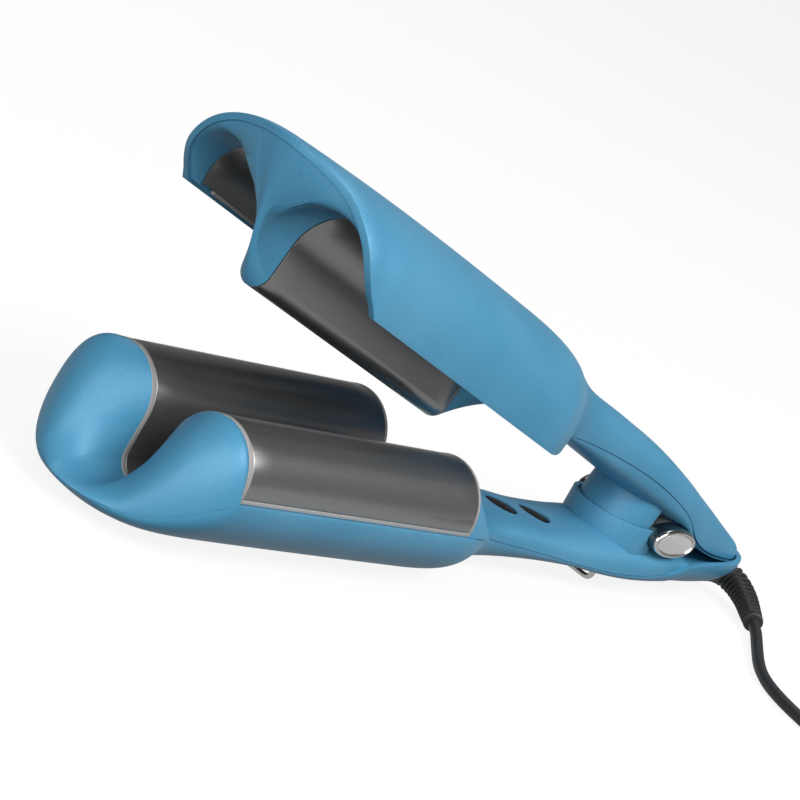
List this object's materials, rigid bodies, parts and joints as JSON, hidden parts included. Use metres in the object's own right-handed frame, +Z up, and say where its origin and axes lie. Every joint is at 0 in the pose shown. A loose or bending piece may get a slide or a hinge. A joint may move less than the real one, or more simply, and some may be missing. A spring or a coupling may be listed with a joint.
{
  "type": "hair waver",
  "caption": "Hand-held hair waver: sprung hinged jaws with interlocking wavy hot plates, long handles with push buttons, a folding wire stand and a power cord.",
  "frame": {"origin": "centre of the flat resting face, under the middle of the hot plates", "axes": "+X from the nose towards the cord end, +Y across the jaws, +Z up"},
  "size_m": [0.3613, 0.2004, 0.1128],
  "materials": {
    "blue_shell": "pearl metallic gloss",
    "hot_plate": "dark glossy coating",
    "plate_trim": "satin",
    "chrome_cap": "polished",
    "satin_disc": "satin",
    "button": "gloss",
    "relief_rubber": "satin",
    "cord_rubber": "satin",
    "tie_strap": "woven",
    "pin_brass": "polished",
    "steel": "bright",
    "heater": "plain",
    "lead": "satin",
    "fuse": "plain",
    "board": "satin",
    "switch": "plain",
    "bush_brass": "plain",
    "nylon": "moulded"
  },
  "bodies": {
    "lower_arm": {"lower_outer_shell": "blue_shell", "lower_nose_cap": "blue_shell", "lower_handle_cover": "blue_shell", "lower_heat_plate": "hot_plate", "lower_plate_trim": "plate_trim", "lower_plate_carrier": "nylon", "lower_heaters": "heater", "lower_heater_springs": "steel", "lower_thermal_fuse": "fuse", "lower_heater_leads": "lead", "control_board": "board", "board_standoffs": "nylon", "tact_switches": "switch", "lower_spring_cup": "blue_shell", "return_spring": "steel", "lower_hinge_frame": "nylon", "hinge_pin": "steel", "hinge_cap_near": "chrome_cap", "hinge_cap_far": "chrome_cap", "hinge_disc_near": "satin_disc", "hinge_disc_far": "satin_disc", "lower_screws": "steel", "stand_tray": "nylon", "strain_relief": "relief_rubber", "cord_clamp": "nylon", "mains_leads": "lead", "power_cord": "cord_rubber", "cord_coil": "cord_rubber", "cord_tie": "tie_strap", "plug_body": "cord_rubber", "plug_pins": "pin_brass"},
    "upper_arm": {"upper_outer_shell": "blue_shell", "upper_nose_cap": "blue_shell", "upper_handle_cover": "blue_shell", "upper_heat_plate": "hot_plate", "upper_plate_trim": "plate_trim", "upper_plate_carrier": "nylon", "upper_heaters": "heater", "upper_heater_springs": "steel", "upper_thermal_fuse": "fuse", "upper_heater_leads": "lead", "upper_spring_boss": "blue_shell", "upper_hinge_frame": "nylon", "upper_screws": "steel", "hinge_bush": "bush_brass"},
    "power_button_body": {"power_button": "button"},
    "heat_button_body": {"heat_button": "button"},
    "stand_body": {"wire_stand": "steel"}
  },
  "joints": [
    {"name": "jaw_close", "type": "hinge", "parent": "lower_arm", "child": "upper_arm", "pos_m": [0.195, 0, 0.0226], "axis": [0, -1, 0], "range_deg": [0, 14], "stiffness_Nm_per_rad": 1, "springref_deg": -34.38, "deforming": ["return_spring"]},
    {"name": "power_press", "type": "slide", "parent": "lower_arm", "child": "power_button_body", "axis": [0, 0, -1], "range_m": [0, 0.0008], "stiffness_N_per_m": 600, "springref_m": -0.0006},
    {"name": "heat_press", "type": "slide", "parent": "lower_arm", "child": "heat_button_body", "axis": [0, 0, -1], "range_m": [0, 0.0008], "stiffness_N_per_m": 600, "springref_m": -0.0006},
    {"name": "stand_fold", "type": "hinge", "parent": "lower_arm", "child": "stand_body", "pos_m": [0.14, 0, 0.0076], "axis": [0, 1, 0], "range_deg": [0, 100]}
  ]
}
